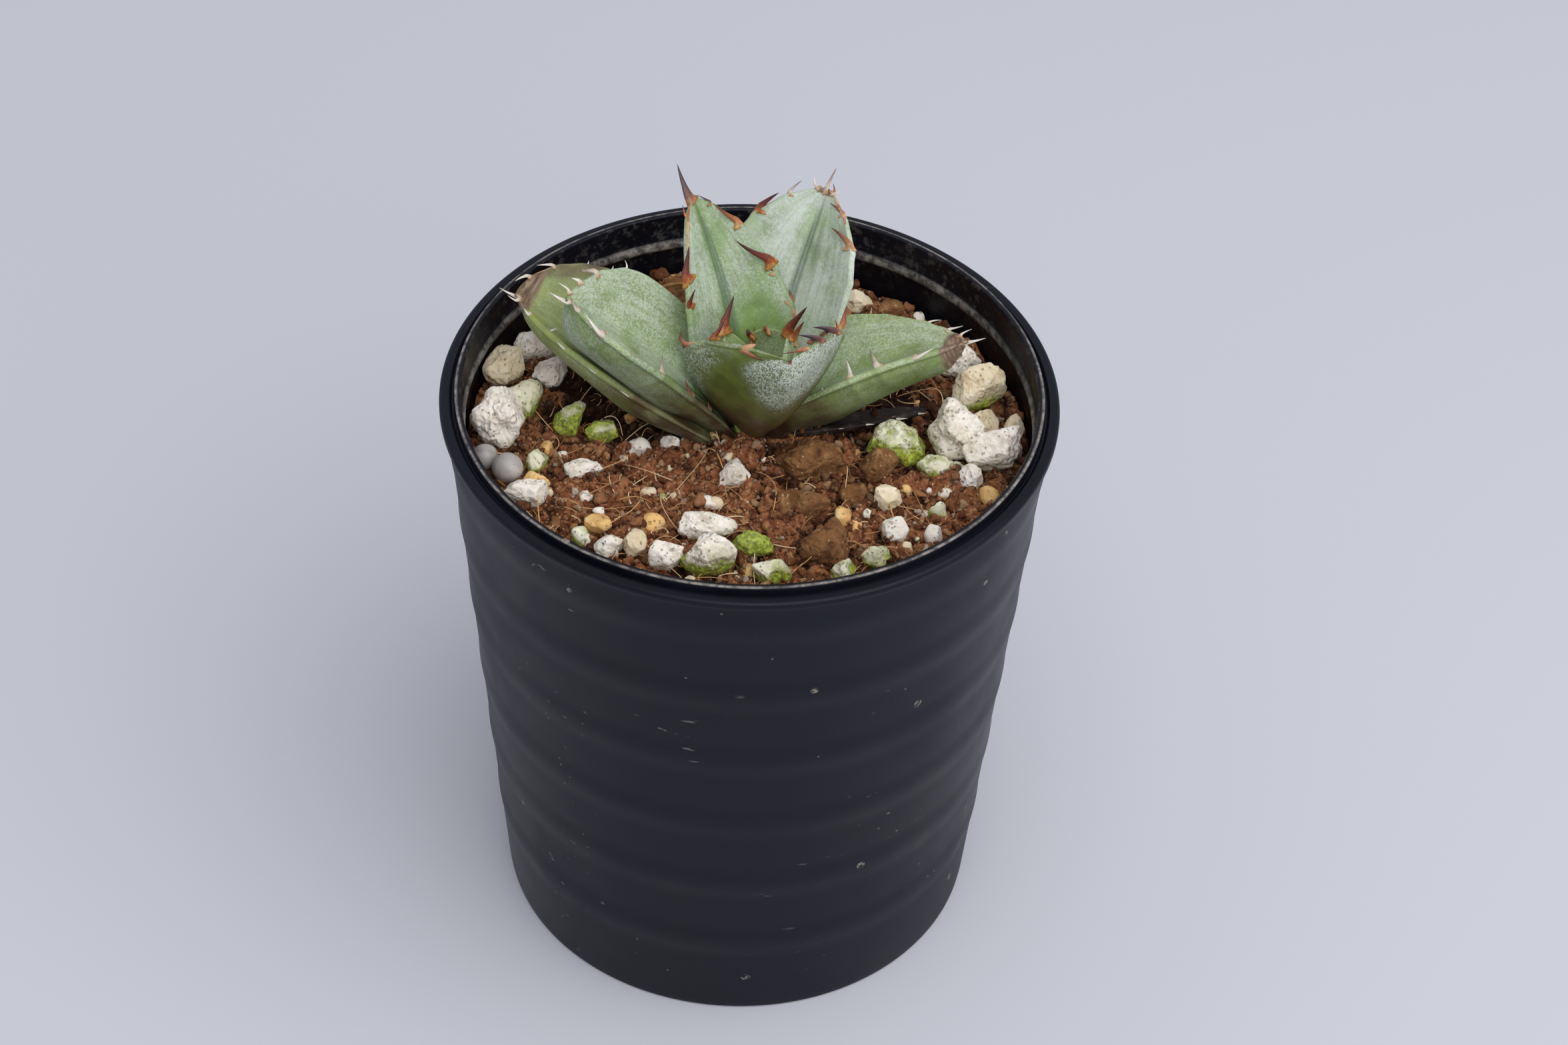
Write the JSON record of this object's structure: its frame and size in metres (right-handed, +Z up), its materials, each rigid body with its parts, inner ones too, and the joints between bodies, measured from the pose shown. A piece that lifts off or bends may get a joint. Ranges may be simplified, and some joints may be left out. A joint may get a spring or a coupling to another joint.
{
  "type": "potted agave",
  "caption": "Young toothed agave rosette in a round black plastic nursery pot, in a gritty potting mix with loose stones on top.",
  "frame": {"origin": "on the pot's axis, in the plane that its foot ring stands on", "axes": "+Z up along the pot's axis, -Y towards the viewer of the picture, +X to that viewer's right"},
  "size_m": [0.09, 0.09, 0.1185],
  "materials": {
    "pot": "semi-matt black moulded plastic with dust and fine scratches",
    "mix": "red-brown peat and coir crumb with grit",
    "root": "pale corky root",
    "leaf": "glaucous green leaf with waxy bloom, red-brown to ivory teeth",
    "bud": "young green leaf with red teeth",
    "dead": "shrunken dark dead leaf with ivory teeth",
    "dry": "dry curled brown leaf scrap",
    "pumice": "pale pitted pumice",
    "mossy": "pale pumice with green algae",
    "cream": "cream gritty stone",
    "clod": "brown fibrous clod",
    "tan": "tan baked clay grain",
    "bead": "dull grey slow-release bead"
  },
  "bodies": {
    "root": {"pot": "pot", "potting_mix": "mix", "stem_and_roots": "root", "leaf_front": "leaf", "leaf_back_left": "leaf", "leaf_back_right": "leaf", "leaf_left_front": "leaf", "leaf_left_back": "leaf", "leaf_right": "leaf", "bud_leaf_front": "bud", "bud_leaf_left": "bud", "bud_leaf_right": "bud", "dead_leaf": "dead", "dry_scrap": "dry", "pumice_1": "pumice", "pumice_2": "pumice", "pumice_3": "pumice", "pumice_4": "pumice", "pumice_5": "pumice", "pumice_6": "pumice", "pumice_7": "pumice", "pumice_8": "pumice", "pumice_9": "pumice", "pumice_10": "pumice", "pumice_11": "pumice", "pumice_12": "pumice", "pumice_13": "pumice", "pumice_14": "pumice", "pumice_15": "pumice", "pumice_16": "pumice", "mossy_1": "mossy", "mossy_2": "mossy", "mossy_3": "mossy", "mossy_4": "mossy", "mossy_5": "mossy", "mossy_6": "mossy", "mossy_7": "mossy", "mossy_8": "mossy", "mossy_9": "mossy", "mossy_10": "mossy", "cream_1": "cream", "cream_2": "cream", "cream_3": "cream", "cream_4": "cream", "cream_5": "cream", "cream_6": "cream", "cream_7": "cream", "clod_1": "clod", "clod_2": "clod", "clod_3": "clod", "clod_4": "clod", "clod_5": "clod", "clod_6": "clod", "clod_7": "clod", "clod_8": "clod", "clod_9": "clod", "tan_1": "tan", "tan_2": "tan", "bead_1": "bead", "bead_2": "bead"}
  },
  "joints": []
}
